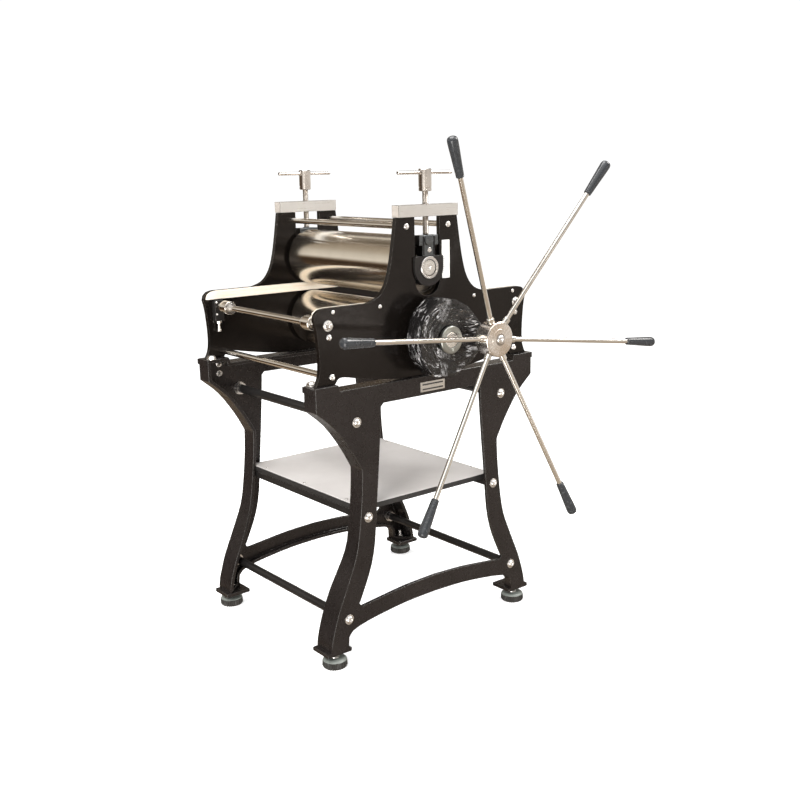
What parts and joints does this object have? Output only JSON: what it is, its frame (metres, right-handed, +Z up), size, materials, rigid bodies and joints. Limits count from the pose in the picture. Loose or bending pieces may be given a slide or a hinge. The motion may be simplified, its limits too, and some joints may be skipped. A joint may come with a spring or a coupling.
{
  "type": "etching press",
  "caption": "Etching press on a cast stand: geared rollers between side plates, screw-down upper roller, spoked star wheel and a shelf.",
  "frame": {"origin": "on the floor, under the middle of the whole object's box", "axes": "+X along the way the bed travels, +Y along the rollers away from the star wheel, +Z up"},
  "size_m": [1.0464, 0.7836, 1.2848],
  "materials": {
    "stand_cast": "black semi-gloss paint over cast iron",
    "plate_paint": "black semi-gloss paint over steel plate",
    "black_tube": "black satin paint",
    "shelf_board": "pale grey board with black edges",
    "beech": "clear varnish",
    "bright_rod": "bright drawn bar",
    "bracket": "black satin paint",
    "machined_cap": "machined and brushed",
    "bearing_housing": "black satin paint",
    "yoke_steel": "dull machined",
    "chrome_roller": "ground and polished",
    "gear_black": "blackened and oiled",
    "pinion_steel": "machined",
    "hub_steel": "turned",
    "black_grip": "smooth",
    "bright_screw": "turned",
    "foot_rubber": "ribbed"
  },
  "bodies": {
    "frame": {"stand_side_near": "stand_cast", "stand_side_far": "stand_cast", "upper_tube_left": "black_tube", "upper_tube_right": "black_tube", "lower_rod_left": "black_tube", "lower_rod_right": "black_tube", "shelf_rail_left": "black_tube", "shelf_rail_right": "black_tube", "shelf_board": "shelf_board", "side_plate_near": "plate_paint", "side_plate_far": "plate_paint", "guide_strip_near": "beech", "guide_strip_far": "beech", "top_tie_rod_left": "bright_rod", "top_tie_rod_right": "bright_rod", "lower_tie_rod_left": "bright_rod", "lower_tie_rod_right": "bright_rod", "bed_axle_left": "bright_rod", "bed_axle_right": "bright_rod", "axle_bracket_near_left": "bracket", "axle_bracket_near_right": "bracket", "axle_bracket_far_left": "bracket", "axle_bracket_far_right": "bracket", "cap_block_near": "machined_cap", "cap_block_far": "machined_cap", "lower_bearing_near": "bearing_housing", "lower_bearing_far": "bearing_housing"},
    "lower_roller": {"lower_roller": "chrome_roller", "drive_gear": "gear_black"},
    "handwheel": {"pinion_shaft": "pinion_steel", "wheel_hub": "hub_steel", "spoke_1": "bright_rod", "spoke_2": "bright_rod", "spoke_3": "bright_rod", "spoke_4": "bright_rod", "spoke_5": "bright_rod", "spoke_6": "bright_rod", "grip_1": "black_grip", "grip_2": "black_grip", "grip_3": "black_grip", "grip_4": "black_grip", "grip_5": "black_grip", "grip_6": "black_grip"},
    "carriage": {"upper_bearing_near": "bearing_housing", "upper_bearing_far": "bearing_housing", "yoke_near": "yoke_steel", "yoke_far": "yoke_steel"},
    "upper_roller": {"upper_roller": "chrome_roller"},
    "screw_near": {"pressure_screw_near": "bright_screw", "tommy_bar_near": "bright_screw"},
    "screw_far": {"pressure_screw_far": "bright_screw", "tommy_bar_far": "bright_screw"},
    "bed_wheel_near_left": {"bed_wheel_near_left": "bright_rod"},
    "bed_wheel_near_right": {"bed_wheel_near_right": "bright_rod"},
    "bed_wheel_far_left": {"bed_wheel_far_left": "bright_rod"},
    "bed_wheel_far_right": {"bed_wheel_far_right": "bright_rod"},
    "foot_near_left": {"levelling_foot_near_left": "foot_rubber"},
    "foot_near_right": {"levelling_foot_near_right": "foot_rubber"},
    "foot_far_left": {"levelling_foot_far_left": "foot_rubber"},
    "foot_far_right": {"levelling_foot_far_right": "foot_rubber"}
  },
  "joints": [
    {"name": "lower_roller_spin", "type": "hinge", "parent": "frame", "child": "lower_roller", "pos_m": [-0.10244, 0.10302, 0.8033], "axis": [0, 1, 0], "continuous": true},
    {"name": "handwheel_spin", "type": "hinge", "parent": "frame", "child": "handwheel", "pos_m": [0, -0.29768, 0.7998], "axis": [0, 1, 0], "continuous": true},
    {"name": "roller_lift", "type": "slide", "parent": "frame", "child": "carriage", "axis": [0, 0, 1], "range_m": [-0.018, 0.022]},
    {"name": "upper_roller_spin", "type": "hinge", "parent": "carriage", "child": "upper_roller", "pos_m": [-0.10244, 0.10302, 0.9754], "axis": [0, 1, 0], "continuous": true},
    {"name": "pressure_screw_near_turn", "type": "hinge", "parent": "carriage", "child": "screw_near", "pos_m": [-0.10244, -0.16018, 1.161], "axis": [0, 0, 1], "range_deg": [-1297, 1585]},
    {"name": "pressure_screw_far_turn", "type": "hinge", "parent": "carriage", "child": "screw_far", "pos_m": [-0.10244, 0.36622, 1.161], "axis": [0, 0, 1], "range_deg": [-1297, 1585]},
    {"name": "bed_wheel_near_left_spin", "type": "hinge", "parent": "frame", "child": "bed_wheel_near_left", "pos_m": [-0.40844, -0.09198, 0.8615], "axis": [0, 1, 0], "continuous": true},
    {"name": "bed_wheel_near_right_spin", "type": "hinge", "parent": "frame", "child": "bed_wheel_near_right", "pos_m": [0.20356, -0.09198, 0.8615], "axis": [0, 1, 0], "continuous": true},
    {"name": "bed_wheel_far_left_spin", "type": "hinge", "parent": "frame", "child": "bed_wheel_far_left", "pos_m": [-0.40844, 0.29802, 0.8615], "axis": [0, 1, 0], "continuous": true},
    {"name": "bed_wheel_far_right_spin", "type": "hinge", "parent": "frame", "child": "bed_wheel_far_right", "pos_m": [0.20356, 0.29802, 0.8615], "axis": [0, 1, 0], "continuous": true},
    {"name": "foot_near_left_screw_out", "type": "slide", "parent": "frame", "child": "foot_near_left", "axis": [0, 0, -1], "range_m": [0, 0.015]},
    {"name": "foot_near_right_screw_out", "type": "slide", "parent": "frame", "child": "foot_near_right", "axis": [0, 0, -1], "range_m": [0, 0.015]},
    {"name": "foot_far_left_screw_out", "type": "slide", "parent": "frame", "child": "foot_far_left", "axis": [0, 0, -1], "range_m": [0, 0.015]},
    {"name": "foot_far_right_screw_out", "type": "slide", "parent": "frame", "child": "foot_far_right", "axis": [0, 0, -1], "range_m": [0, 0.015]}
  ],
  "couplings": [
    {"joint": "handwheel_spin", "follows": "lower_roller_spin", "ratio": -4.125},
    {"joint": "pressure_screw_near_turn", "follows": "roller_lift", "rad_per_m": 1256.6},
    {"joint": "pressure_screw_far_turn", "follows": "roller_lift", "rad_per_m": 1256.6}
  ]
}
